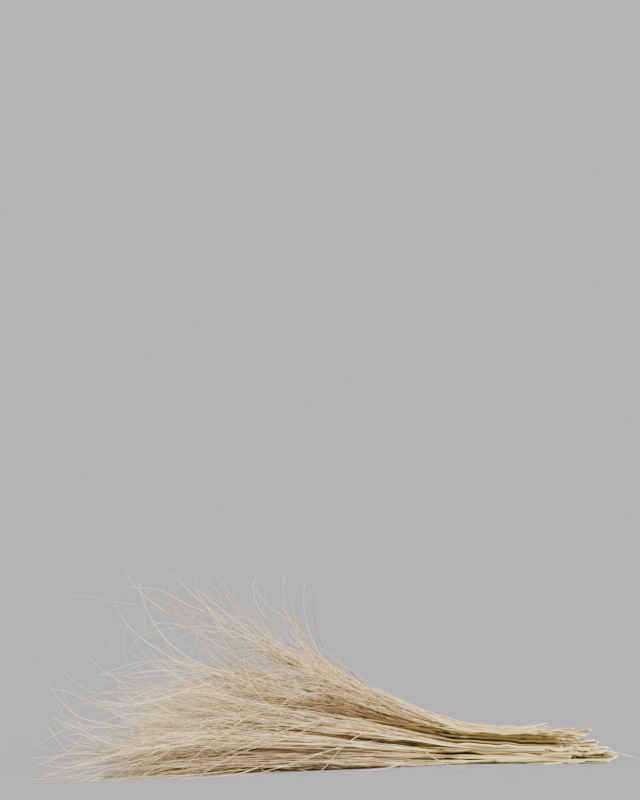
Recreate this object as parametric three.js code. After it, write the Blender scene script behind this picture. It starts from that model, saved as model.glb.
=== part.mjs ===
// A bundle of cut and dried feather grass, lying on its side.
//
// Millimetres, +Z up. The stalks run along X: the cut ends point to +X, the plumes to -X.
// "Reach" is the distance from the cut end of the longest stalk, measured towards the plumes.
// "Across" runs from -1 (front side, -Y) to 1 (back side), and "up" from 0 (the table) to 1
// (the top of the four lower rows). Every piece keeps to its own cell of this grid, so the
// grid can open from the narrow stalks to the wide head without two pieces meeting.

import * as THREE from 'three';

const { lerp, smoothstep } = THREE.MathUtils;

// ---- Stalks ----
const stalkDiameter = 3.2;
const packWidth = 62;         // the stalks side by side, where a hand would hold them
const packHeight = 26;        // the four lower rows of stalks
const cutStagger = 58;        // the shortest stalk is cut this much behind the longest
const cutSlope = 0.6;         // how much of that comes from the upper stalks being shorter
const stalkWander = 0.5;      // how far a stalk strays inside its cell, as a share of the cell

// ---- Where stalks end and plumes start ----
const plumeStart = 177;       // reach of the first plume's base
const plumeStartSpread = 56;  // from the first plume's base to the last one's
const growthGap = 0.3;        // between a stalk's upper end and the base of its plume

// ---- Head of plumes ----
const headWidth = 216;
const headHeight = 100;
const openingStart = 110;     // reach at which the bundle starts to open
const openingLength = 330;    // from there to the full head
const longestTip = 600;       // reach of the longest plume's tip
const tipSpread = 84;         // tips of one row end within this length
const rowStepBack = 32;       // each higher row of plumes ends this much sooner
const tipDrop = 0.3;          // share of its height that the head loses towards the tips
const frontFlare = 0.75;      // the front plumes' tips bend out by this share
const backFlare = 0.3;
const shoulderDrop = 0.3;     // the head's sides are lower than its middle by this share
const rowRounding = 0.7;      // how fast the rows narrow towards the top
const cellFill = 0.92;        // share of its cell that a plume fills
const swellEnd = 0.42;        // share of its length by which a plume has swelled
const taperStart = 0.5;       // share of its length where it starts to run out
const plumeTipRadius = 1.2;

// ---- Fan of loose plumes that rises from the top of the bundle ----
const fanCount = 6;
const fanTop = 180;           // height of the highest tip
const fanTopFall = 34;        // the lowest tip is this much below it
const fanNearTip = 366;       // reach of the steepest plume's tip
const fanFarTip = 506;        // reach of the flattest plume's tip
const fanRadius = 5.2;
const fanLane = 0.72;         // the fan's outer lanes, as "across"
const fanSpread = 0.4;        // the outer tips lean out by this share more
const fanBend = 3.2;          // how late a fan piece turns upwards
const fanSettle = 0.35;       // share of its length by which it has left the rows
const fanTallest = 0.4;       // rank of the highest tip, from near (0) to far (1)
const fanClearance = 1;       // between a fan piece and the rows under it

// ---- Leaf blades along the sides ----
const leafWidth = 4.6;
const leafThickness = 0.8;
const leafStart = 62;         // reach of the first blade's base
const leafLength = 230;
const leafTipShare = 0.25;    // width of a blade's tip, as a share of its base
const leafClearance = 1.4;    // between a blade and the pieces beside it

const rowCounts = [7, 6, 5, 4];
const ringSides = 8;
const stalkRadius = stalkDiameter / 2;
const fullReach = openingStart + openingLength;

const stalkMaterial = new THREE.MeshStandardMaterial({ color: 0xcdc08a, roughness: 0.6, metalness: 0 });
const plumeMaterial = new THREE.MeshStandardMaterial({ color: 0xd9caa8, roughness: 0.9, metalness: 0 });
const leafMaterial = new THREE.MeshStandardMaterial({ color: 0xd6c795, roughness: 0.7, metalness: 0 });

// An even, repeatable scatter between 0 and 1 for the n-th piece, different for each use.
const goldenShare = 0.618034;
const scatter = (n, use) => ((n * use + use) * goldenShare) % 1;
const forCutEnd = 3;
const forPlumeBase = 5;
const forStray = 7;
const forTip = 2;

// ---- The grid that all pieces share ----

const opened = (reach) => smoothstep(reach, openingStart, fullReach);

const halfWidth = (reach) => lerp(packWidth, headWidth, opened(reach)) / 2;

function rowsTop(reach) {
  const drop = tipDrop * smoothstep(reach, fullReach, longestTip);
  return lerp(packHeight, headHeight, opened(reach)) * (1 - drop);
}

// Width of a row, as a share of the widest: the bundle has a rounded top.
const rowSpan = (up) => Math.sqrt(1 - rowRounding * up * up);

function gridPoint(reach, across, up) {
  const flareSide = across < 0 ? frontFlare : backFlare;
  const flare = 1 + flareSide * across * across * smoothstep(reach, fullReach - 60, longestTip);
  const y = halfWidth(reach) * across * flare;
  const z = rowsTop(reach) * up * (1 - shoulderDrop * across * across * up);
  return new THREE.Vector3(-reach, y, z);
}

// ---- Closed bodies from rings of points ----

// Corners of a ring with flat sides below, above, left and right, as shares of its half sizes.
function ringCorners() {
  const reachOut = 1 / Math.cos(Math.PI / ringSides);
  const list = [];
  for (let k = 0; k < ringSides; k += 1) {
    const angle = ((k + 0.5) / ringSides) * 2 * Math.PI;
    list.push([Math.cos(angle) * reachOut, Math.sin(angle) * reachOut]);
  }
  return list;
}

const corners = ringCorners();

// Joins rings, each a list of Vector3 in the same order, and closes both ends.
function loft(rings) {
  const sides = rings[0].length;
  const faces = [];
  for (let k = 0; k < rings.length - 1; k += 1) {
    for (let i = 0; i < sides; i += 1) {
      const next = (i + 1) % sides;
      const a = k * sides + i;
      const b = k * sides + next;
      const c = a + sides;
      const d = b + sides;
      faces.push(a, c, b, b, c, d);
    }
  }
  const last = (rings.length - 1) * sides;
  for (let i = 1; i < sides - 1; i += 1) {
    faces.push(0, i, i + 1);
    faces.push(last, last + i + 1, last + i);
  }
  const geometry = new THREE.BufferGeometry();
  const positions = rings.flat().flatMap((point) => point.toArray());
  geometry.setAttribute('position', new THREE.Float32BufferAttribute(positions, 3));
  geometry.setIndex(faces);
  geometry.computeVertexNormals();
  return geometry;
}

// A round ring that stands square to X.
function roundRing(centre, radius) {
  return corners.map(([y, z]) => new THREE.Vector3(centre.x, centre.y + radius * y, centre.z + radius * z));
}

// ---- Stalks ----

const stalkStart = (n, up) => cutStagger * lerp(scatter(n, forCutEnd), up, cutSlope);
const plumeBase = (n) => plumeStart + plumeStartSpread * scatter(n, forPlumeBase);

// A round, slightly wandering rod whose centre is given by a function of its reach.
function stalkGeometry(n, up, centreAt) {
  const from = stalkStart(n, up);
  const to = plumeBase(n) - growthGap;
  const steps = 5;
  const rings = [];
  for (let k = 0; k <= steps; k += 1) {
    const reach = lerp(from, to, k / steps);
    rings.push(roundRing(centreAt(reach, k / steps), stalkRadius));
  }
  return loft(rings);
}

// A stalk of the lower rows. It strays inside its cell, except at its upper end, where its
// plume goes on from it. The lowest row lies on the table.
function rowStalk(n, row, across, halfAcross) {
  const stray = halfAcross * stalkWander * (2 * scatter(n, forStray) - 1);
  const up = (row + 0.5) / rowCounts.length;
  return stalkGeometry(n, up, (reach, share) => {
    const centre = gridPoint(reach, across + stray * (1 - share), up);
    centre.z = row === 0 ? stalkRadius : centre.z;
    return centre;
  });
}

// ---- Plumes of the lower rows ----

// Fullness of a plume from its base (0) to its tip (1): it swells, then runs out to a point.
function fullness(share) {
  const swell = smoothstep(share, 0, swellEnd);
  const taper = 1 - smoothstep(share, taperStart, 1);
  return swell * taper;
}

// A lock of awns that starts as thick as its stalk, fills its cell and ends in a thin tip.
// The lowest row lies flat on the table along its whole length.
function rowPlume(n, row, across, halfAcross) {
  const from = plumeBase(n);
  const to = longestTip - row * rowStepBack - tipSpread * scatter(n, forTip);
  const cellUp = 0.5 / rowCounts.length;
  const steps = 12;
  const rings = [];
  for (let k = 0; k <= steps; k += 1) {
    const share = k / steps;
    const reach = lerp(from, to, share);
    const thin = lerp(stalkRadius, plumeTipRadius, share);
    const fill = fullness(share) * cellFill;
    const wide = lerp(thin / halfWidth(reach), halfAcross, fill);
    const high = lerp(thin / rowsTop(reach), cellUp, fill);
    const middle = row === 0 ? high : (row + 0.5) / rowCounts.length;
    rings.push(corners.map(([y, z]) => gridPoint(reach, across + wide * y, middle + high * z)));
  }
  return loft(rings);
}

// ---- The fan on top ----

// Neighbouring lanes hold tips from different parts of the fan: rank 0 is the nearest tip.
const fanRank = (lane) => ((lane * 5 + 2) % fanCount) / (fanCount - 1);
const fanTip = (lane) => lerp(fanNearTip, fanFarTip, fanRank(lane));
const fanAcross = (lane) => lerp(-fanLane, fanLane, lane / (fanCount - 1));
const fanHeight = (lane) => fanTop - fanRadius - fanTopFall * Math.abs(fanRank(lane) - fanTallest);

// Centre line of a fan piece from its cut end on: it lies on the rows, then rises to its tip.
function fanCentre(n, lane, reach) {
  const base = plumeBase(n);
  const share = Math.max(0, (reach - base) / (fanTip(lane) - base));
  const across = fanAcross(lane) * (1 + fanSpread * share * share);
  const radius = lerp(stalkRadius, fanRadius, smoothstep(share, 0, fanSettle));
  const rise = fanHeight(lane) - rowsTop(fanTip(lane));
  const centre = gridPoint(reach, across, 1);
  centre.z = rowsTop(reach) + fanClearance + radius + rise * share ** fanBend;
  return centre;
}

function fanStalk(n, lane) {
  return stalkGeometry(n, 1, (reach) => fanCentre(n, lane, reach));
}

// A thin lock swept along its rising centre line, with rings square to the line.
function fanPlume(n, lane) {
  const from = plumeBase(n);
  const to = fanTip(lane);
  const steps = 12;
  const points = [];
  for (let k = 0; k <= steps; k += 1) {
    points.push(fanCentre(n, lane, lerp(from, to, k / steps)));
  }
  const curve = new THREE.CatmullRomCurve3(points);
  const rings = [];
  for (let k = 0; k <= steps; k += 1) {
    const share = k / steps;
    const centre = curve.getPoint(share);
    const along = k === 0 ? new THREE.Vector3(-1, 0, 0) : curve.getTangent(share);
    const upward = new THREE.Vector3(0, 1, 0).cross(along).normalize();
    const sideways = along.clone().cross(upward).normalize();
    const thin = lerp(stalkRadius, plumeTipRadius, share);
    const radius = lerp(thin, fanRadius, fullness(share));
    rings.push(corners.map(([y, z]) => centre.clone()
      .addScaledVector(sideways, radius * y)
      .addScaledVector(upward, radius * z)));
  }
  return loft(rings);
}

// ---- Leaf blades ----

// A flat, tapering blade that hugs the side of the bundle. Side is -1 in front, 1 behind.
function leafBlade(side, up, from) {
  const steps = 8;
  const rings = [];
  for (let k = 0; k <= steps; k += 1) {
    const share = k / steps;
    const reach = from + leafLength * share;
    const half = (leafWidth / 2) * lerp(1, leafTipShare, share ** 2);
    const centre = gridPoint(reach, side * rowSpan(up), up);
    centre.y += side * (leafClearance + leafThickness / 2);
    centre.z = Math.max(centre.z, leafWidth / 2 + leafClearance);
    const section = [[-1, -1], [1, -1], [1, 1], [-1, 1]];
    rings.push(section.map(([y, z]) => new THREE.Vector3(
      centre.x,
      centre.y + (leafThickness / 2) * y,
      centre.z + half * z,
    )));
  }
  return loft(rings);
}

// ---- Putting the bundle together ----

const bundle = new THREE.Group();
const twoDigits = (n) => String(n).padStart(2, '0');

function addPiece(name, geometry, material) {
  const mesh = new THREE.Mesh(geometry, material.clone());
  mesh.name = name;
  bundle.add(mesh);
}

let count = 0;
rowCounts.forEach((rowCount, row) => {
  const span = rowSpan((row + 0.5) / rowCounts.length);
  const halfAcross = span / rowCount;
  for (let i = 0; i < rowCount; i += 1) {
    count += 1;
    const across = span * ((2 * i + 1) / rowCount - 1);
    addPiece(`stalk_${twoDigits(count)}`, rowStalk(count, row, across, halfAcross), stalkMaterial);
    addPiece(`plume_${twoDigits(count)}`, rowPlume(count, row, across, halfAcross), plumeMaterial);
  }
});

for (let lane = 0; lane < fanCount; lane += 1) {
  count += 1;
  addPiece(`stalk_${twoDigits(count)}`, fanStalk(count, lane), stalkMaterial);
  addPiece(`plume_${twoDigits(count)}`, fanPlume(count, lane), plumeMaterial);
}

const leaves = [
  { side: -1, up: 0.28, from: leafStart },
  { side: -1, up: 0.66, from: leafStart + 26 },
  { side: 1, up: 0.45, from: leafStart + 12 },
];
leaves.forEach(({ side, up, from }, i) => {
  addPiece(`leaf_${twoDigits(i + 1)}`, leafBlade(side, up, from), leafMaterial);
});

// The origin is the middle of the bundle's footprint, on the table.
const box = new THREE.Box3().setFromObject(bundle);
const middle = box.getCenter(new THREE.Vector3());
bundle.position.set(-middle.x, -middle.y, -box.min.z);

export default bundle;
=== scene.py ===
import math
from itertools import combinations

import bpy
import numpy as np
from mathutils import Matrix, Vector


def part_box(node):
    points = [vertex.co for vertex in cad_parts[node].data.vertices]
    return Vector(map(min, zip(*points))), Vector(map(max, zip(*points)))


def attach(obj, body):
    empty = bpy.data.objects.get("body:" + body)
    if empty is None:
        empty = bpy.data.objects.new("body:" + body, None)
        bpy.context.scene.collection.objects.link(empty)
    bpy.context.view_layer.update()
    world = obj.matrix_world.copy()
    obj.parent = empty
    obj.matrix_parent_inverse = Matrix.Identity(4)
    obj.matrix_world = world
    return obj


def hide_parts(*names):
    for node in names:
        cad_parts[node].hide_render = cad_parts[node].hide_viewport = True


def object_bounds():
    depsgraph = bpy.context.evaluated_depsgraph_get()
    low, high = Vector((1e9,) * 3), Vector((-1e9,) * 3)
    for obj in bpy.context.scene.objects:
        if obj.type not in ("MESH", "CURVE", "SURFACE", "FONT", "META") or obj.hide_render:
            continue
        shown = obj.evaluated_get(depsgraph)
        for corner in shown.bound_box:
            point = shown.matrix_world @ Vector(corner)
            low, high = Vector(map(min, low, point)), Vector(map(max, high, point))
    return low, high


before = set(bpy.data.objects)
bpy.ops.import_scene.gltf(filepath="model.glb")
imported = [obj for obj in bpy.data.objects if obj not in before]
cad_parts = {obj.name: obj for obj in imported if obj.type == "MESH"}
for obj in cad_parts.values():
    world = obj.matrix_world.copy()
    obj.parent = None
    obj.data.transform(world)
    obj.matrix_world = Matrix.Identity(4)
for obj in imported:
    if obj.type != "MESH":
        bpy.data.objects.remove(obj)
cad_low, cad_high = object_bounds()

# ---- Camera ----
# A long lens held level, a little above the table and well back from it, so that the bundle is
# seen almost from the side, low in the frame, with its stalks to the right.
STALKS = [f"stalk_{n:02d}" for n in range(1, 29)]
camera_height = 0.374
camera_distance = 2.60
camera_aim_x = -0.023
stalk_line_y = np.mean([np.mean([corner.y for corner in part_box(node)]) for node in STALKS])

camera_data = bpy.data.cameras.new("camera")
camera_data.sensor_width = 36
camera_data.lens = 112.5
camera = bpy.data.objects.new("camera", camera_data)
camera.location = (camera_aim_x, stalk_line_y - camera_distance, camera_height)
camera.rotation_euler = (math.pi / 2, 0, 0)
bpy.context.scene.collection.objects.link(camera)
bpy.context.scene.camera = camera

# ---- Floor and light ----
# A plain pale floor that runs out of sight, under one large soft light from the upper right in
# front, and a surround as bright as the lit floor, so that no edge shows where they meet.
floor_radius = 30.0
floor_corners = 96
floor_tint = np.array([0.218, 0.214, 0.226])
angles = np.linspace(0, 2 * math.pi, floor_corners, endpoint=False)
floor_mesh = bpy.data.meshes.new("floor")
floor_mesh.from_pydata(
    np.stack([np.cos(angles), np.sin(angles), np.zeros(floor_corners)], 1) * floor_radius,
    [],
    [list(range(floor_corners))],
)
floor = bpy.data.objects.new("floor", floor_mesh)
bpy.context.scene.collection.objects.link(floor)
floor_material = bpy.data.materials.new("pale_floor")
floor_material.use_nodes = True
floor_shader = floor_material.node_tree.nodes["Principled BSDF"]
floor_shader.inputs["Base Color"].default_value = (*floor_tint, 1)
floor_shader.inputs["Roughness"].default_value = 1.0
floor_shader.inputs["Specular IOR Level"].default_value = 0.0
floor_mesh.materials.append(floor_material)

light_slope = math.radians(38)
light_turn = math.radians(38)
light_strength = 9.2
light_data = bpy.data.lights.new("soft_light", "SUN")
light_data.energy = light_strength
light_data.angle = math.radians(14)
light_data.color = (1.0, 0.985, 0.955)
light = bpy.data.objects.new("soft_light", light_data)
light.rotation_euler = (light_slope, 0, light_turn)
bpy.context.scene.collection.objects.link(light)

# A floor of tint a, lit by the light's share s and by the surround w, sends back a (s + w); the
# surround is as bright as that when w = a s / (1 - a).
light_on_floor = light_strength * math.cos(light_slope) / math.pi * np.array(light_data.color)
surround = floor_tint * light_on_floor / (1 - floor_tint)
world = bpy.data.worlds.new("studio")
bpy.context.scene.world = world
world.use_nodes = True
world.node_tree.nodes["Background"].inputs["Color"].default_value = (*surround, 1)
world.node_tree.nodes["Background"].inputs["Strength"].default_value = 1.0

# ---- Stalks ----
# The culms: dry, hollow straws 2 to 3 mm thick, cut off square at one end. Each has two joints,
# which are dark, swollen rings, and above the first of them a leaf sheath wrapped round it.
STALK_RINGS = 46
STALK_SIDES = 10
BORE = 0.5                # the hollow's radius, as a share of the stalk's
BORE_DEPTH = 0.007
SHEATH_THICKNESS = 0.00032
SWELLING = 0.22           # of a joint, as a share of the radius
FLATTENING = 0.22         # of the sheath, wider one way and thinner the other
OFF_THE_TABLE = 0.00005   # the gap left under a stalk


def smooth(x, low, high):
    """The smooth step: 0 below low, 1 above high, and 3t^2 - 2t^3 in between."""
    t = np.clip((x - low) / (high - low), 0, 1)
    return t * t * (3 - 2 * t)


def corner_points(node):
    """The solid's own corners, each once, sorted from the cut ends towards the plumes."""
    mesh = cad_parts[node].data
    points = np.empty(len(mesh.vertices) * 3, np.float32)
    mesh.vertices.foreach_get("co", points)
    points = np.unique(points.reshape(-1, 3).round(6), axis=0).astype(float)
    return points[np.argsort(-points[:, 0], kind="stable")]


def centre_line(node, corners=8):
    """Each ring of the solid has the same number of corners: its mean is a point of the line."""
    rings = corner_points(node).reshape(-1, corners, 3)
    return rings.mean(1), (rings.max(1) - rings.min(1)) / 2


def skin(rings, u_strips, v_along):
    """Closes tubes given as an array (tubes, rings, corners, 3) into faces with a map.

    Four neighbouring corners make a face, and one flat face closes each end. A tube's map is
    its own strip from u to u + width, with v running along it.
    """
    tubes, count, sides, _ = rings.shape
    index = np.arange(tubes * count * sides).reshape(tubes, count, sides)
    turned = np.roll(index, -1, axis=2)
    quads = np.stack([index[:, :-1], turned[:, :-1], turned[:, 1:], index[:, 1:]], -1)
    ends = np.concatenate([index[:, 0, ::-1], index[:, -1]])
    start, width = u_strips
    left = start[:, None, None] + width[:, None, None] * np.arange(sides) / sides
    left = np.broadcast_to(left, (tubes, count - 1, sides))
    right = left + (width / sides)[:, None, None]
    near = np.broadcast_to(v_along[:, :-1, None], left.shape)
    far = np.broadcast_to(v_along[:, 1:, None], left.shape)
    quad_map = np.stack([
        np.stack([left, near], -1), np.stack([right, near], -1),
        np.stack([right, far], -1), np.stack([left, far], -1),
    ], -2)
    turn = 2 * math.pi * np.arange(sides) / sides
    end_u = (start + width / 2)[:, None] + width[:, None] / 2 * np.cos(turn)
    end_v = 0.004 * (1 + np.sin(turn))
    low = np.stack([end_u, np.broadcast_to(end_v, end_u.shape)], -1)
    high = np.stack([end_u, np.broadcast_to(0.992 + end_v, end_u.shape)], -1)
    return {
        "points": rings.reshape(-1, 3),
        "quads": quads.reshape(-1, 4),
        "ends": ends,
        "quad_map": quad_map.reshape(-1, 2),
        "end_map": np.concatenate([low, high]).reshape(-1, 2),
    }


def strips_across(count, edge):
    """Equal strips of a map side by side, each drawn in by the same share at both its edges."""
    return (np.arange(count) + edge) / count, np.full(count, (1 - 2 * edge) / count)


def build_piece(name, skins, material, node=None, attributes=None):
    """Joins skins into one mesh object, riding on the only body and standing for its node."""
    points, loops, totals, places = [], [], [], []
    offset = 0
    for part in skins:
        points.append(part["points"])
        for faces, where in (("quads", "quad_map"), ("ends", "end_map")):
            loops.append((part[faces] + offset).ravel())
            totals.append(np.full(len(part[faces]), part[faces].shape[1]))
            places.append(part[where])
        offset += len(part["points"])
    loops, totals = np.concatenate(loops), np.concatenate(totals)
    mesh = bpy.data.meshes.new(name)
    mesh.vertices.add(offset)
    mesh.vertices.foreach_set("co", np.concatenate(points).astype(np.float32).ravel())
    mesh.loops.add(len(loops))
    mesh.loops.foreach_set("vertex_index", loops.astype(np.int32))
    mesh.polygons.add(len(totals))
    mesh.polygons.foreach_set("loop_start", (np.cumsum(totals) - totals).astype(np.int32))
    mesh.update(calc_edges=True)
    mesh.shade_smooth()
    layer = mesh.uv_layers.new(name="OFBake")
    layer.uv.foreach_set("vector", np.concatenate(places).astype(np.float32).ravel())
    for label, values in (attributes or {}).items():
        attribute = mesh.attributes.new(label, "FLOAT", "POINT")
        attribute.data.foreach_set("value", values.astype(np.float32).ravel())
    mesh.materials.append(material)
    piece = bpy.data.objects.new(name, mesh)
    bpy.context.scene.collection.objects.link(piece)
    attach(piece, "root")
    if node:
        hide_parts(node)
    return piece


def new_material(name, roughness, specular, sheen=0.0):
    """A plain dielectric surface; returns it with its nodes, links and shader."""
    material = bpy.data.materials.new(name)
    material.use_nodes = True
    tree = material.node_tree
    shader = tree.nodes["Principled BSDF"]
    shader.inputs["Roughness"].default_value = roughness
    shader.inputs["Specular IOR Level"].default_value = specular
    shader.inputs["Sheen Weight"].default_value = sheen
    return material, tree.nodes, tree.links, shader


def ramp(nodes, stops):
    """A colour ramp with a stop for each (position, colour)."""
    node = nodes.new("ShaderNodeValToRGB")
    elements = node.color_ramp.elements
    while len(elements) < len(stops):
        elements.new(0.5)
    for element, (position, colour) in zip(elements, stops):
        element.position = position
        element.color = (*colour, 1)
    return node


def streaks(nodes, links, across, along, detail=2.0):
    """Noise on the piece's own map, drawn out along the strands: many changes across, few along."""
    place = nodes.new("ShaderNodeUVMap")
    place.uv_map = "OFBake"
    stretch = nodes.new("ShaderNodeMapping")
    stretch.inputs["Scale"].default_value = (across, along, 1)
    noise = nodes.new("ShaderNodeTexNoise")
    noise.inputs["Scale"].default_value = 1.0
    noise.inputs["Detail"].default_value = detail
    links.new(place.outputs["UV"], stretch.inputs["Vector"])
    links.new(stretch.outputs["Vector"], noise.inputs["Vector"])
    return noise


def attribute_value(nodes, name):
    """The value of one of the mesh's own attributes."""
    node = nodes.new("ShaderNodeAttribute")
    node.attribute_name = name
    return node.outputs["Fac"]


def mix_colours(nodes, links, factor, first, second, blend="MIX"):
    """Mixes two colours, each a socket or three numbers, by a factor socket or number."""
    node = nodes.new("ShaderNodeMix")
    node.data_type = "RGBA"
    node.blend_type = blend
    for socket, value in ((node.inputs[0], factor), (node.inputs[6], first), (node.inputs[7], second)):
        if isinstance(value, bpy.types.NodeSocket):
            links.new(value, socket)
        elif isinstance(value, tuple):
            socket.default_value = (*value, 1)
        else:
            socket.default_value = value
    return node.outputs[2]


straw, nodes, links, shader = new_material("dry_straw", 0.42, 0.4)
ribs = streaks(nodes, links, 34, 2.2)
tint = ramp(nodes, [
    (0.0, (0.20, 0.13, 0.03)),
    (0.35, (0.42, 0.32, 0.08)),
    (0.7, (0.68, 0.54, 0.18)),
    (1.0, (0.86, 0.74, 0.36)),
])
joint_brown = (0.17, 0.10, 0.04)
pith_colour = (0.80, 0.74, 0.56)
links.new(attribute_value(nodes, "tone"), tint.inputs["Fac"])
ribbed = ramp(nodes, [(0.30, (0.62, 0.60, 0.55)), (0.62, (1.0, 1.0, 1.0))])
links.new(ribs.outputs["Fac"], ribbed.inputs["Fac"])
body_colour = mix_colours(nodes, links, 1.0, tint.outputs["Color"], ribbed.outputs["Color"], "MULTIPLY")
browned = mix_colours(nodes, links, attribute_value(nodes, "joint"), body_colour, joint_brown)
links.new(
    mix_colours(nodes, links, attribute_value(nodes, "pith"), browned, pith_colour),
    shader.inputs["Base Color"],
)
grain = nodes.new("ShaderNodeBump")
grain.inputs["Strength"].default_value = 0.35
grain.inputs["Distance"].default_value = 0.0004
links.new(ribs.outputs["Fac"], grain.inputs["Height"])
links.new(grain.outputs["Normal"], shader.inputs["Normal"])


def straws(lines, radii, joints, sheath_ends, rng):
    """Stalks along lines given as (stalks, rings, 3), with rings square to X.

    The profile starts inside the bore, comes out of it, crosses the cut face and then runs
    along the stalk: the radius swells by a narrow bell curve at each joint, and above the first
    joint a sheath adds its thickness until it runs out. Returns the rings and, for each of them,
    the share along the stalk, how brown and how pithy it is.
    """
    count = len(lines)
    reach = lines[:, :1, 0] - lines[:, :, 0]
    bell = np.exp(-((reach[:, :, None] - joints[:, None, :]) / 0.0011) ** 2).sum(2)
    wrap = smooth(reach, joints[:, :1], joints[:, :1] + 0.0015)
    wrap = wrap * (1 - smooth(reach, sheath_ends - 0.010, sheath_ends))
    taper = 1 - 0.3 * smooth(reach, 0.10, 0.26)
    thick = radii[:, None] * (taper + SWELLING * bell) + SHEATH_THICKNESS * wrap
    flat = 1 + FLATTENING * wrap * rng.uniform(0.3, 1, (count, 1))
    turn = 2 * math.pi * (np.arange(STALK_SIDES) + 0.5) / STALK_SIDES
    lean = rng.uniform(0, math.pi, (count, 1, 1))
    wide, high = thick * flat, thick / flat
    across = np.cos(turn) * wide[:, :, None]
    upward = np.sin(turn) * high[:, :, None]
    y = across * np.cos(lean) - upward * np.sin(lean)
    z = across * np.sin(lean) + upward * np.cos(lean)
    rings = np.stack([np.zeros_like(y), -y, z], -1) + lines[:, :, None, :]
    mouth = rings[:, :1]
    centre = lines[:, :1, None, :]
    lip = centre + (mouth - centre) * BORE
    deep = lip - np.array([BORE_DEPTH, 0, 0])
    bottom = centre + (mouth - centre) * 0.02 - np.array([BORE_DEPTH, 0, 0])
    rings = np.concatenate([bottom, deep, lip, mouth, rings], 1)
    hidden = np.zeros((count, 4))
    outside = 0.02 + 0.98 * share_of_line(reach)
    along = np.concatenate([hidden + [[0.0, 0.004, 0.016, 0.02]], outside], 1)
    brown = np.concatenate([hidden, np.clip(bell * 1.3, 0, 1)], 1)
    pith = np.concatenate([hidden + [[0.4, 0.4, 1.0, 0.5]], 0.5 * np.exp(-reach / 0.0006)], 1)
    return rings, along, brown, pith


def share_of_line(reach):
    """Reach along each line, as a share of the whole line."""
    return reach / reach[:, -1:]


def per_corner(values, rings):
    """Spreads one value for each ring over the ring's corners."""
    return np.broadcast_to(values[:, :, None], rings.shape[:3])


def stalk_line(node, rng, kink=0.0013):
    """The solid's centre line as y and z over x, drawn out evenly, with sines added in y and z: a
    slow weave and, smaller, the quicker kinks of a dry stalk."""
    line, _ = centre_line(node)
    x = np.linspace(line[0, 0], line[-1, 0] - 0.012, STALK_RINGS)
    order = np.argsort(line[:, 0])
    y = np.interp(x, line[order, 0], line[order, 1])
    z = np.interp(x, line[order, 0], line[order, 2])
    share = np.linspace(0, 1, STALK_RINGS)
    for rate, part in ((1.2, 1.0), (3.4, 0.45), (7.5, 0.22)):
        y += part * kink * np.sin(2 * math.pi * (rng.uniform(0.6, 1.4) * rate * share + rng.random()))
        z += part * kink * np.sin(2 * math.pi * (rng.uniform(0.6, 1.4) * rate * share + rng.random()))
    return np.stack([x, y, z], -1)


def joint_places(rng, count):
    """Two joints on each stalk: one near the cut end and one further up."""
    return np.stack([rng.uniform(0.012, 0.075, count), rng.uniform(0.11, 0.17, count)], 1)


def least_height(radii):
    """How high a stalk's line runs at least: its radius, swollen as at a joint, and the sheath,
    both as wide as where they are flattened, and the gap under them."""
    return (radii * (1 + SWELLING) + SHEATH_THICKNESS) * (1 + FLATTENING) + OFF_THE_TABLE


def build_straws(name, lines, radii, sheath_lengths, tone, strips, rng, node=None):
    """Draws joints, sheaths and a tone for each stalk and builds them all as one piece.

    The tone is given as (least, span, a, b): the least plus the span times a beta draw of a and b.
    """
    count = len(lines)
    joints = joint_places(rng, count)
    sheath_ends = joints[:, :1] + rng.uniform(*sheath_lengths, (count, 1))
    rings, along, brown, pith = straws(lines, radii, joints, sheath_ends, rng)
    least, span, a, b = tone
    build_piece(
        name, [skin(rings, strips, along)], straw, node,
        {
            "tone": np.broadcast_to(least + span * rng.beta(a, b, (count, 1, 1)), rings.shape[:3]),
            "joint": per_corner(brown, rings),
            "pith": per_corner(pith, rings),
        },
    )


rng = np.random.default_rng(11)
stalk_lines = {}
for node in STALKS:
    line = stalk_line(node, rng)
    radius = rng.uniform(0.00095, 0.00160)
    line[:, 2] = np.maximum(line[:, 2], least_height(radius))
    stalk_lines[node] = line
    build_straws(
        node + "_straw", line[None], np.array([radius]), (0.05, 0.12), (0.08, 0.88, 1.4, 1.5),
        strips_across(1, 0.02), rng, node,
    )

# The bunch holds more stalks than the solids do: the others lie between them, each a mean of
# two neighbours' lines, in four groups. Their tone is painted darker than the outer stalks': painted
# shade for the gaps deep between the stalks.
FILL_GROUPS = 4
NEIGHBOUR_DISTANCE = 0.0125
middles = {node: stalk_lines[node][STALK_RINGS // 3, 1:] for node in STALKS}
pairs = [
    (a, b) for a, b in combinations(STALKS, 2)
    if np.linalg.norm(middles[a] - middles[b]) < NEIGHBOUR_DISTANCE
]
pairs = [pairs[k] for k in rng.permutation(len(pairs))]


def between(first, second, shares, rng):
    """A line between two stalks' lines: their mean over x, whose weight goes by a smooth step from
    one share to another so that it crosses over, cut off and ended its own way."""
    ends = [max(first[0, 0], second[0, 0]), min(first[-1, 0], second[-1, 0])]
    x = np.linspace(ends[0] - rng.uniform(0, 0.045), ends[1] - rng.uniform(0, 0.05), STALK_RINGS)
    line = np.zeros((STALK_RINGS, 3))
    share = shares[0] + (shares[1] - shares[0]) * smooth(np.linspace(0, 1, STALK_RINGS), 0.1, 0.9)
    for part, weight in ((first, 1 - share), (second, share)):
        line[:, 1] += weight * np.interp(x, part[::-1, 0], part[::-1, 1])
        line[:, 2] += weight * np.interp(x, part[::-1, 0], part[::-1, 2])
    line[:, 0] = x
    line[:, 1] += rng.uniform(-0.0012, 0.0012) * np.linspace(1, -1, STALK_RINGS)
    return line


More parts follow.
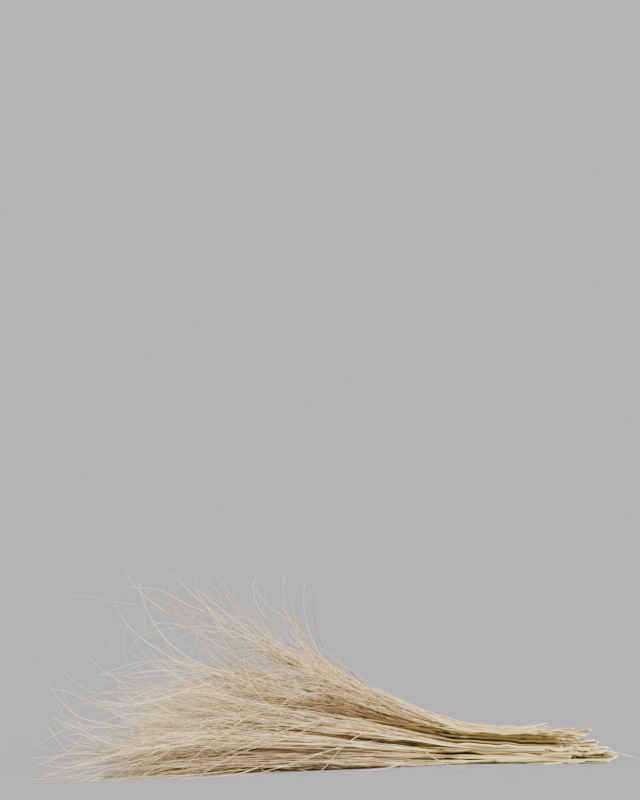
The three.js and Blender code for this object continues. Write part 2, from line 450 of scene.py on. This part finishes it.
for group in range(FILL_GROUPS):
    chosen = pairs[group::FILL_GROUPS]
    count = len(chosen)
    lines = np.array([
        between(stalk_lines[a], stalk_lines[b], rng.uniform(0.22, 0.78, 2), rng) for a, b in chosen
    ])
    radii = rng.uniform(0.0009, 0.00145, count)
    lines[:, :, 2] = np.maximum(lines[:, :, 2], least_height(radii[:, None]))
    # A tone from 0 to 0.62, darker than the outer stalks' 0.08 to 0.96: painted shade between the
    # stalks.
    build_straws(
        f"inner_straws_{group + 1}", lines, radii, (0.04, 0.12), (0, 0.62, 1.2, 1.8),
        strips_across(count, 0.1), rng,
    )

# ---- Plumes ----
# The flower heads: each stalk goes on as a thin stem with papery husks along it, and a husk ends
# in one awn, a hair 70 to 210 mm long. The awns lie together in silky tufts that bend with the
# bunch, cross each other and part into loose, curling tips.
PLUMES = [f"plume_{n:02d}" for n in range(1, 29)]
AWN_SIDES = 3
TUFTS = 32                # in one plume's lock
LOCK_RINGS = 15           # along an awn that lies in its lock
STRAY_RINGS = 22          # along one that has come loose
LEAST_HEIGHT = 0.00004    # of an awn's corners above the table
BOX_SHARE = 0.03          # awns may stand this share of each side past the solids' box,
BOX_ALLOWANCE = 0.009     # and this much more
SIDE = np.array(cad_high) - np.array(cad_low)
OUTER_LOW = np.array(cad_low) - BOX_SHARE * SIDE - BOX_ALLOWANCE
OUTER_HIGH = np.array(cad_high) + BOX_SHARE * SIDE + BOX_ALLOWANCE


def keep_inside(paths, radii, rng):
    """Draws each path in towards its first point until it lies inside the outer limit, and lifts
    what would be under the table onto it."""
    first = paths[:, :1]
    away = paths - first
    past_high = (away / (OUTER_HIGH - first)).max((1, 2))
    past_low = (-away / (first - OUTER_LOW))[..., :2].max((1, 2))
    past = np.maximum(past_high, past_low)
    shrink = np.where(past > 1, rng.uniform(0.8, 1, len(paths)) / np.maximum(past, 1), 1)
    paths = first + away * shrink[:, None, None]
    paths[..., 2] = np.maximum(paths[..., 2], radii * 1.1 + 0.0001)
    return paths


def tubes(paths, radii, rng, sides=AWN_SIDES, flat=1.0):
    """Rings square to many paths at once: a first direction beside the path is carried along it,
    and at each step the part of it that lies along the path is taken away."""
    along = np.gradient(paths, axis=1)
    along /= np.linalg.norm(along, axis=2, keepdims=True)
    beside = rng.normal(size=(len(paths), 3))
    frames = []
    for k in range(paths.shape[1]):
        beside = beside - (beside * along[:, k]).sum(1, keepdims=True) * along[:, k]
        beside = beside / np.linalg.norm(beside, axis=1, keepdims=True)
        frames.append(beside)
    beside = np.stack(frames, 1)
    above = np.cross(along, beside)
    turn = 2 * math.pi * np.arange(sides) / sides
    wide = (radii[:, :, None] * np.cos(turn))[..., None] * beside[:, :, None]
    high = (radii[:, :, None] * np.sin(turn) / flat)[..., None] * above[:, :, None]
    return paths[:, :, None] + wide + high


def on_line(line, share):
    """Points at any share of a line of evenly spaced points; past its ends it goes straight on."""
    last = len(line) - 1
    place = np.clip(share, 0, 1) * last
    low = np.minimum(place.astype(int), last - 1)
    part = (share * last - low)[..., None]
    return line[low] * (1 - part) + line[low + 1] * part


def bent(points, yaw, pitch):
    """Turns each step of each path by yaw, from -X towards +Y, and by pitch, upwards, both in
    radians, and adds the steps up again from the first point."""
    step = np.diff(points, axis=1)
    length = np.linalg.norm(step, axis=2)
    turn = np.arctan2(step[..., 1], -step[..., 0]) + yaw
    lift = np.arcsin(np.clip(step[..., 2] / length, -1, 1)) + pitch
    ahead = np.stack([-np.cos(lift) * np.cos(turn), np.cos(lift) * np.sin(turn), np.sin(lift)], -1)
    walked = np.cumsum(ahead * length[..., None], 1)
    return np.concatenate([points[:, :1], points[:, :1] + walked], 1)


def sway(rng, count, size, slowest, fastest, place):
    """A sine of place with its own size, rate and phase for each path."""
    rate = rng.uniform(slowest, fastest, (count, 1))
    size = size * rng.normal(size=(count, 1))
    phase = rng.random((count, 1))
    return size * np.sin(2 * math.pi * (rate * place + phase))


def lock_awns(line, half, count, rng, latest, lengths, spread, lift):
    """Awns that follow a lock's line.

    Each starts beside the stem, moves out to its place in the lock, by a smooth step, and runs
    on with its tuft. Each step is then turned: by an angle of the tuft's own that grows along
    the lock, by slow sines of tuft and awn, by a curl that grows with the cube of the place
    along the awn, and by a bend that parts the tufts at their tips.
    """
    earliest = -0.09
    crowding = 1.8
    long_from, drawn_in = 0.9, 0.65
    narrowest = 0.0018
    u = np.linspace(0, 1, LOCK_RINGS)[None]
    line_length = np.linalg.norm(np.diff(line, axis=0), axis=1).sum()
    start = (latest - earliest) * rng.random((count, 1)) ** crowding + earliest
    length = rng.uniform(*lengths, (count, 1))
    end = start + length / line_length
    end = end - drawn_in * np.maximum(end - long_from, 0)
    share = start + (end - start) * u
    room = smooth(share, -0.08, 0.36)[..., None] * half[:, 1:].max(0) * 0.9
    room = np.maximum(room, narrowest)
    tuft = rng.integers(0, TUFTS, count)
    tuft_turn = rng.uniform(0, 2 * math.pi, TUFTS)[tuft][:, None]
    tuft_place = (np.sqrt(rng.random(TUFTS)) * 0.85)[tuft][:, None]
    own_turn = rng.uniform(0, 2 * math.pi, (count, 1))
    own_place = rng.random((count, 1)) * 0.42 * (1 - 0.82 * smooth(u, 0.1, 0.7))
    leave = 0.3 + 0.7 * smooth(u, 0, 0.35)
    points = on_line(line, share)
    sideways = tuft_place * np.cos(tuft_turn) + own_place * np.cos(own_turn)
    upwards = tuft_place * np.sin(tuft_turn) + own_place * np.sin(own_turn)
    points[..., 1] += sideways * leave * room[..., 0]
    points[..., 2] += upwards * leave * room[..., 1]
    middle = (u[:, 1:] + u[:, :-1]) / 2
    place = (share[:, 1:] + share[:, :-1]) / 2
    turns = []
    for tuft_spread, own_spread, curl in ((0.085, 0.025, 0.34), (0.06, 0.02, 0.27)):
        drift = rng.normal(0, tuft_spread, TUFTS)[tuft][:, None] * smooth(place, 0.08, 0.75)
        tuft_rate = rng.uniform(1.0, 2.4, TUFTS)[tuft][:, None]
        tuft_phase = rng.random(TUFTS)[tuft][:, None]
        tuft_wave = 0.045 * np.sin(2 * math.pi * (tuft_rate * place + tuft_phase))
        own = rng.normal(0, own_spread, (count, 1)) * smooth(middle, 0, 0.4) * smooth(place, 0.1, 0.5)
        wilder = 1 + 1.8 * (rng.random((count, 1)) < 0.15)
        hook = rng.normal(0, curl, (count, 1)) * wilder * middle ** 3 * smooth(place, 0.35, 0.8)
        parting = rng.normal(0, 1.5 * curl, TUFTS)[tuft][:, None] * smooth(place, 0.55, 1.2) ** 2
        turning = spread * (drift + tuft_wave + own + hook + parting)
        turns.append(turning + sway(rng, count, 0.025, 0.6, 1.8, middle))
    turns[1] += rng.normal(*lift, (count, 1)) * middle * smooth(place, 0.2, 0.7)
    return bent(points, *turns), tuft


def free_awns(starts, yaw, pitch, length, curl, rng, wobble=0.13):
    """Awns that have left their lock: straight paths whose steps are turned by sines and by a
    curl that grows along the awn."""
    count = len(starts)
    u = np.linspace(0, 1, STRAY_RINGS)[None, :, None]
    ahead = np.stack([-np.cos(pitch) * np.cos(yaw), np.cos(pitch) * np.sin(yaw), np.sin(pitch)], -1)
    points = starts[:, None] + u * (length[:, None] * ahead)[:, None]
    middle = (u[:, 1:, 0] + u[:, :-1, 0]) / 2
    turns = [
        curl[:, k:k + 1] * middle ** 1.8 + sway(rng, count, wobble, 0.5, 1.9, middle)
        + sway(rng, count, 0.3 * wobble, 2.5, 4.5, middle) for k in range(2)
    ]
    return bent(points, *turns)


def thinning(count, rings, rng, thickest, full_from=0.0):
    """An awn's radius: it thins to its tip by the square root of what is left of it, and to its
    start, by a smooth step, when it is at its fullest only from some share of its length on."""
    u = np.linspace(0, 1, rings)[None]
    start = 0.3 + 0.7 * smooth(u, -0.001, full_from)
    left = 0.16 + 0.84 * np.sqrt(1 - 0.97 * u)
    return thickest * start * rng.uniform(0.72, 1.28, (count, 1)) * left


def hair_skin(paths, radii, tones, rng, sides=AWN_SIDES, flat=1.0):
    """Tubes along the paths, kept inside, whose map's u is the awn's tone and v runs along it."""
    paths = keep_inside(paths, radii, rng)
    rings = tubes(paths, radii, rng, sides, flat)
    rings[..., 2] = np.maximum(rings[..., 2], LEAST_HEIGHT)
    width = np.full(len(paths), 0.006)
    along = np.broadcast_to(np.linspace(0.01, 0.99, paths.shape[1]), paths.shape[:2])
    return skin(rings, (np.clip(tones, 0, 0.992), width), along)


silk, nodes, links, shader = new_material("silky_awn", 0.50, 0.35, 0.15)
place = nodes.new("ShaderNodeUVMap")
place.uv_map = "OFBake"
split = nodes.new("ShaderNodeSeparateXYZ")
links.new(place.outputs["UV"], split.inputs["Vector"])
at_husk = ramp(nodes, [
    (0.0, (0.28, 0.18, 0.06)),
    (0.35, (0.62, 0.45, 0.17)),
    (0.7, (0.90, 0.70, 0.27)),
    (1.0, (0.98, 0.86, 0.48)),
])
at_tip = ramp(nodes, [
    (0.0, (0.26, 0.17, 0.08)),
    (0.35, (0.55, 0.40, 0.21)),
    (0.7, (0.84, 0.67, 0.36)),
    (1.0, (0.98, 0.88, 0.64)),
])
links.new(split.outputs["X"], at_husk.inputs["Fac"])
links.new(split.outputs["X"], at_tip.inputs["Fac"])
paling = ramp(nodes, [(0.15, (0, 0, 0)), (0.85, (1, 1, 1))])
links.new(split.outputs["Y"], paling.inputs["Fac"])
plain = mix_colours(
    nodes, links, paling.outputs["Color"], at_husk.outputs["Color"], at_tip.outputs["Color"]
)
uneven = streaks(nodes, links, 120, 3.0)
dull = ramp(nodes, [(0.32, (0.72, 0.70, 0.66)), (0.6, (1, 1, 1))])
links.new(uneven.outputs["Fac"], dull.inputs["Fac"])
dulled = mix_colours(nodes, links, 1.0, plain, dull.outputs["Color"], "MULTIPLY")
links.new(dulled, shader.inputs["Base Color"])


def husks(line, half, count, rng):
    """Papery husks beside the stem: flat spindles 20 to 45 mm long that run out to a point."""
    share = 0.50 * rng.random(count) - 0.06
    u = np.linspace(0, 1, 7)[None]
    length = rng.uniform(0.020, 0.045, (count, 1))
    start = on_line(line, share)
    ahead = on_line(line, share + 0.06) - start
    ahead /= np.linalg.norm(ahead, axis=1, keepdims=True)
    turn = rng.uniform(0, 2 * math.pi, count)
    room = np.maximum(smooth(share, -0.08, 0.36)[:, None] * half[:, 1:].max(0), 0.0020)
    outwards = np.stack([np.cos(turn), np.sin(turn)], 1)
    start[:, 1:] += room * outwards * (0.3 + 0.65 * rng.random((count, 1)))
    spread = rng.normal(0, 0.07, (count, 3))
    paths = start[:, None] + (ahead + spread)[:, None] * (length * u)[..., None]
    radii = rng.uniform(0.00055, 0.00095, (count, 1)) * np.sin(math.pi * (0.06 + 0.9 * u ** 0.7))
    return paths, radii


def stem(line):
    """The stem inside a plume: the stalk's line carried on, from 0.9 mm to 0.25 mm in radius."""
    u = np.linspace(0, 1, 18)
    return on_line(line, 0.62 * u)[None], (0.00092 - 0.00067 * u)[None]


def stray_awns(line, half, count, first_share, rng):
    """Awns that have come loose anywhere past a share of the plume's line: each starts inside the
    lock and leaves it at an angle of its own."""
    share = rng.uniform(first_share, 0.95, count)
    starts = on_line(line, share)
    turn = rng.uniform(0, 2 * math.pi, count)
    starts[:, 1:] += 0.6 * half[:, 1:].max(0) * np.stack([np.cos(turn), np.sin(turn)], 1)
    ahead = on_line(line, share + 0.04) - on_line(line, share)
    yaw = np.arctan2(ahead[:, 1], -ahead[:, 0]) + rng.normal(0, 0.26, count)
    pitch = np.arctan2(ahead[:, 2], -ahead[:, 0]) + rng.normal(0.04, 0.20, count)
    curl = rng.normal(0, 0.7, (count, 2)) + np.array([0, 0.1])
    paths = free_awns(starts, yaw, pitch, rng.uniform(0.07, 0.17, count), curl, rng)
    radii = thinning(count, STRAY_RINGS, rng, 0.00036)
    return hair_skin(paths, radii, rng.normal(0.78, 0.14, count), rng)


# By row from the table up, and for the fan: how many awns a plume has, the share of its line
# where the last of them start, how long they are, how widely they spread, by how much they bend
# up or down (mean and spread), how pale and how thick they are, how many husks it has, and how
# many awns have come loose, from which share of the line on. The lowest row's tone is painted
# darker than the rest: painted shade on the underside of the head.
ROW_SIZES = (7, 6, 5, 4, 6)
ROW_AWNS = (450, 440, 290, 160, 58)
ROW_LATEST = (0.58, 0.56, 0.54, 0.50, 0.52)
ROW_LENGTHS = ((0.11, 0.21), (0.11, 0.21), (0.10, 0.20), (0.09, 0.19), (0.07, 0.16))
ROW_SPREAD = (0.65, 0.75, 0.95, 1.2, 1.7)
ROW_LIFT = ((0.0, 0.02), (0.0, 0.03), (0.0, 0.06), (-0.05, 0.12), (-0.30, 0.50))
# The lowest row's 0.25 is painted shade for the underside of the head; the other rows' tones are their
# own.
ROW_TONE_AND_SHADE = (0.25, 0.78, 0.66, 0.34, 0.38)
ROW_RADIUS = (0.00033, 0.00034, 0.00038, 0.00040, 0.00040)
ROW_HUSKS = (80, 80, 80, 80, 34)
ROW_STRAYS = (10, 9, 9, 12, 5)
ROW_STRAY_FROM = (0.3, 0.3, 0.3, 0.4, 0.6)
row_of = np.repeat(np.arange(len(ROW_SIZES)), ROW_SIZES)

rng = np.random.default_rng(23)
plume_lines = {}
for node, row in zip(PLUMES, row_of):
    line, half = centre_line(node)
    plume_lines[node] = (line, half)
    count = ROW_AWNS[row]
    awns, tuft = lock_awns(
        line, half, count, rng, ROW_LATEST[row], ROW_LENGTHS[row], ROW_SPREAD[row], ROW_LIFT[row]
    )
    tones = ROW_TONE_AND_SHADE[row] + rng.normal(0, 0.05) + rng.normal(0, 0.16, TUFTS)[tuft]
    tones = tones + rng.normal(0, 0.18, count)
    parts = [hair_skin(awns, thinning(count, LOCK_RINGS, rng, ROW_RADIUS[row]), tones, rng)]
    paths, radii = husks(line, half, ROW_HUSKS[row], rng)
    parts.append(hair_skin(paths, radii, rng.uniform(0.3, 0.8, len(paths)), rng, 4, 2.6))
    paths, radii = stem(line)
    parts.append(hair_skin(paths, radii, np.array([0.45]), rng, 6))
    parts.append(stray_awns(line, half, ROW_STRAYS[row], ROW_STRAY_FROM[row], rng))
    build_piece(node + "_awns", parts, silk, node)

# Where two plumes meet their locks run into each other: more awns, each set along the mean of the
# lines of two plumes that lie close together in rows one above the other.
ROW_MEETING = (0, 96, 90, 40, 14)
MEETING_DISTANCE = 0.034
parts = []
for (first, row_below), (second, row) in combinations(zip(PLUMES, row_of), 2):
    (line_a, half_a), (line_b, half_b) = plume_lines[first], plume_lines[second]
    low_down = np.array(0.25)
    apart = np.linalg.norm(on_line(line_a, low_down) - on_line(line_b, low_down))
    if row != row_below + 1 or apart > MEETING_DISTANCE:
        continue
    count = ROW_MEETING[row]
    awns, tuft = lock_awns(
        (line_a + line_b) / 2, (half_a + half_b) * 0.42, count, rng,
        0.40, ROW_LENGTHS[row], ROW_SPREAD[row], ROW_LIFT[row],
    )
    # Awns between the lowest two rows take half of the lowest row's painted shade.
    tones = 0.5 * (ROW_TONE_AND_SHADE[row] + ROW_TONE_AND_SHADE[row_below]) + rng.normal(0, 0.16, count)
    parts.append(hair_skin(awns, thinning(count, LOCK_RINGS, rng, ROW_RADIUS[row]), tones, rng))
build_piece("meeting_awns", parts, silk)

# Single awns that cross the front of the head from the upper right to the lower left. Each comes
# out from 6 mm inside it, lies on it and stands away from it towards its tip.
FRONT_PLUMES = ("plume_01", "plume_08", "plume_14", "plume_19")


def front_of_head(x, z):
    """Y of the head's front side at each x and z: the nearest points of the front plume of each
    row, joined by straight lines from row to row."""
    heights, fronts = [], []
    for name in FRONT_PLUMES:
        line, half = plume_lines[name]
        heights.append(np.interp(-x, -line[:, 0], line[:, 2]))
        fronts.append(np.interp(-x, -line[:, 0], line[:, 1] - half[:, 1]))
    y = fronts[0]
    for k in range(len(FRONT_PLUMES) - 1):
        gap = np.maximum(heights[k + 1] - heights[k], 1e-4)
        y = y + np.clip((z - heights[k]) / gap, 0, 1) * (fronts[k + 1] - fronts[k])
    return y


crossing = 11
u = np.linspace(0, 1, STRAY_RINGS)[None]
first_x = rng.uniform(-0.15, 0.07, (crossing, 1))
x = first_x - rng.uniform(0.07, 0.17, (crossing, 1)) * u
first_z = rng.uniform(0.030, 0.075, (crossing, 1)) * (1 - 0.35 * smooth(first_x, -0.02, 0.07))
last_z = rng.uniform(-0.012, 0.030, (crossing, 1))
fall = rng.uniform(0.8, 1.7, (crossing, 1))
z = first_z + (last_z - first_z) * u ** fall + 0.003 * sway(rng, crossing, 1.0, 0.8, 2.0, u)
y = front_of_head(x, z) + 0.006 - 0.009 * smooth(u, 0, 0.2)
y = y - 0.022 * rng.random((crossing, 1)) * u ** 3
radii = thinning(crossing, STRAY_RINGS, rng, 0.00042, 0.3)
tones = rng.normal(0.78, 0.12, crossing)
build_piece("crossing_awns", [hair_skin(np.stack([x, y, z], -1), radii, tones, rng)], silk)

# Awns that come out of the front of the head low down and slope towards the table in front of
# it. Those that reach it lie along it.
lying = 22
x = rng.uniform(-0.26, 0.02, lying)
z = rng.uniform(0.003, 0.024, lying)
starts = np.stack([x, front_of_head(x, z) + rng.uniform(0.004, 0.012, lying), z], -1)
yaw = -rng.uniform(0.08, 0.6, lying)
pitch = -rng.uniform(0.02, 0.25, lying)
length = rng.uniform(0.08, 0.17, lying)
curl = np.stack([rng.normal(0.2, 0.7, lying), rng.normal(0, 0.2, lying)], 1)
paths = free_awns(starts, yaw, pitch, length, curl, rng, 0.05)
radii = thinning(lying, STRAY_RINGS, rng, 0.00040, 0.3)
tones = rng.normal(0.68, 0.16, lying)
build_piece("lying_awns", [hair_skin(paths, radii, tones, rng)], silk)

# Long awns that stand well away from the rest: one sweeps left and then up, others curl over the
# tips, hook down to the table beside the stalks or slip out between the cut ends.


def long_awn(start, yaw, pitch, length, turning, lifting, thick, tone):
    """One awn from a start point whose yaw and pitch, in degrees, each change evenly along it."""
    u = np.linspace(0, 1, STRAY_RINGS)
    middle = (u[1:] + u[:-1]) / 2
    turn = np.radians(yaw + turning * middle)
    lift = np.radians(pitch + lifting * middle)
    ahead = np.stack([-np.cos(lift) * np.cos(turn), np.cos(lift) * np.sin(turn), np.sin(lift)], -1)
    step = ahead * length / (STRAY_RINGS - 1)
    path = np.concatenate([[start], start + np.cumsum(step, 0)])[None]
    radius = thick * (0.25 + 0.75 * np.sqrt(1 - 0.95 * u))[None]
    return hair_skin(path, radius, np.array([tone]), rng)


build_piece("long_awns", [
    long_awn((-0.110, -0.03, 0.095), 2, 4, 0.145, -4, 78, 0.00048, 0.90),
    long_awn((-0.150, -0.05, 0.066), -4, -12, 0.130, 10, 125, 0.00042, 0.80),
    long_awn((-0.135, 0.02, 0.060), 6, 12, 0.150, -8, 95, 0.00042, 0.70),
    long_awn((-0.170, -0.08, 0.052), -12, 26, 0.120, 10, -85, 0.00045, 0.85),
    long_awn((-0.020, 0.01, 0.095), 2, 42, 0.125, 8, 48, 0.00045, 0.85),
    long_awn((0.000, -0.02, 0.088), -6, 38, 0.110, -10, 60, 0.00042, 0.90),
    long_awn((0.085, -0.028, 0.014), 244, -16, 0.098, -34, 16, 0.00045, 0.85),
    long_awn((0.060, -0.035, 0.006), 262, -4, 0.075, 120, 0, 0.00050, 0.95),
    long_awn((0.110, -0.020, 0.040), 4, 18, 0.190, -14, 24, 0.00040, 0.90),
    long_awn((0.100, 0.000, 0.046), 0, 20, 0.180, 6, 14, 0.00040, 0.85),
    long_awn((0.090, 0.014, 0.047), -4, 24, 0.160, 10, 18, 0.00040, 0.90),
    long_awn((0.250, 0.004, 0.013), 184, -4, 0.062, -6, -14, 0.00050, 0.90),
    long_awn((0.170, 0.020, 0.029), 176, 6, 0.040, 4, 22, 0.00042, 0.85),
], silk)

# Three bare stems that have lost their awns and stand up out of the head. Each has a thinner side
# shoot from near its tip.
stems = []
for k in range(3):
    foot = (-0.085 + 0.004 * k, -0.01 + 0.012 * k, 0.070)
    stems.append(long_awn(foot, 3 - 4 * k, 47 + 4 * k, 0.150 - 0.012 * k, 6, -12, 0.00062, 0.22))
    fork = (-0.137 + 0.010 * k, -0.007 + 0.008 * k, 0.131 + 0.002 * k)
    stems.append(long_awn(fork, 2, 62, 0.062 - 0.008 * k, 12, 30, 0.00042, 0.34))
build_piece("bare_stems", stems, silk)

# ---- Leaf blades ----
# Three dry leaves that lie along the outside of the bunch: flat, tapering, papery blades with a
# shallow fold down the middle and fine veins.
blade_material, nodes, links, shader = new_material("papery_leaf", 0.55, 0.3)
veins = streaks(nodes, links, 30, 1.6)
vein_colour = ramp(nodes, [(0.3, (0.36, 0.27, 0.10)), (0.65, (0.74, 0.63, 0.32))])
links.new(veins.outputs["Fac"], vein_colour.inputs["Fac"])
links.new(vein_colour.outputs["Color"], shader.inputs["Base Color"])
crease = nodes.new("ShaderNodeBump")
crease.inputs["Strength"].default_value = 0.4
crease.inputs["Distance"].default_value = 0.0003
links.new(veins.outputs["Fac"], crease.inputs["Height"])
links.new(crease.outputs["Normal"], shader.inputs["Normal"])

LEAF_RINGS = 72
leaf_thickness = 0.00030
rng = np.random.default_rng(5)
for node in ("leaf_01", "leaf_02", "leaf_03"):
    line, half = centre_line(node, 4)
    u = np.linspace(0, 1, LEAF_RINGS)
    centre = on_line(line, u)
    outwards = -1.0 if line[0, 1] < stalk_line_y else 1.0
    width = np.interp(u, np.linspace(0, 1, len(half)), half[:, 2])
    width = 0.8 * width * smooth(u, -0.2, 0.06) * (1 - 0.92 * smooth(u, 0.6, 1.0))
    width = width * (1 + 0.12 * np.sin(2 * math.pi * (7 * u + rng.random())))
    twist = 0.5 * np.sin(2 * math.pi * (1.3 * u + rng.random())) + rng.choice([-1, 1]) * 1.6 * u ** 2
    ripple = 0.0008 * np.sin(2 * math.pi * (4.3 * u + rng.random()))
    across = np.array([-1, -0.6, -0.2, 0.2, 0.6, 1])
    fold = 0.45 * np.abs(across)
    outline = np.concatenate([
        np.stack([across, fold], 1), np.stack([across[::-1], fold[::-1]], 1),
    ])
    inner = np.concatenate([np.ones(6), -np.ones(6)]) * leaf_thickness / 2
    up = outline[:, 0] * width[:, None]
    out = outline[:, 1] * width[:, None] + inner
    y = (out * np.cos(twist)[:, None] - up * np.sin(twist)[:, None]) * outwards
    z = out * np.sin(twist)[:, None] + up * np.cos(twist)[:, None]
    rings = np.stack([
        np.broadcast_to(centre[:, :1], y.shape), centre[:, 1:2] + y + outwards * ripple[:, None],
        centre[:, 2:] + z,
    ], -1)
    if outwards > 0:
        rings = rings[:, ::-1]
    blade = skin(rings[None], strips_across(1, 0.02), np.linspace(0.01, 0.99, LEAF_RINGS)[None])
    build_piece(node + "_blade", [blade], blade_material, node)

# Torn leaf sheaths and scraps of leaf that cling to the outer stalks: narrow papery strips, curved
# round the stalk, that lift off it at one end.
sheaths = 54
middle_y = np.mean([line[:, 1].mean() for line in stalk_lines.values()])
middle_z = np.mean([line[:, 2].mean() for line in stalk_lines.values()])
u = np.linspace(0, 1, 20)
paths = []
for k in range(sheaths):
    line = stalk_lines[STALKS[rng.integers(0, len(STALKS))]]
    first = rng.uniform(0.0, 0.62)
    place = first + rng.uniform(0.14, 0.36) * u * rng.choice([-1, 1])
    path = on_line(line, np.clip(place, 0.005, 0.995))
    away = np.array([0, path[0, 1] - middle_y, 1.6 * (path[0, 2] - middle_z)])
    away = away / np.linalg.norm(away) + rng.normal(0, 0.35, 3) * [0, 1, 1]
    rise = 0.0016 + rng.uniform(0.0005, 0.0050) * u ** 3
    ripple = 0.0007 * np.sin(2 * math.pi * (rng.uniform(1, 3) * u + rng.random()))
    paths.append(path + away * (rise + ripple)[:, None])
paths = np.array(paths)
radii = rng.uniform(0.0008, 0.0017, (sheaths, 1)) * np.sin(math.pi * (0.08 + 0.86 * u)) ** 0.6
rings = tubes(keep_inside(paths, radii, rng), radii, rng, 8, 5.0)
rings[..., 2] = np.maximum(rings[..., 2], LEAST_HEIGHT)
strips = skin(rings, strips_across(sheaths, 0.1), np.broadcast_to(0.01 + 0.98 * u, radii.shape))
build_piece("clinging_sheaths", [strips], blade_material)
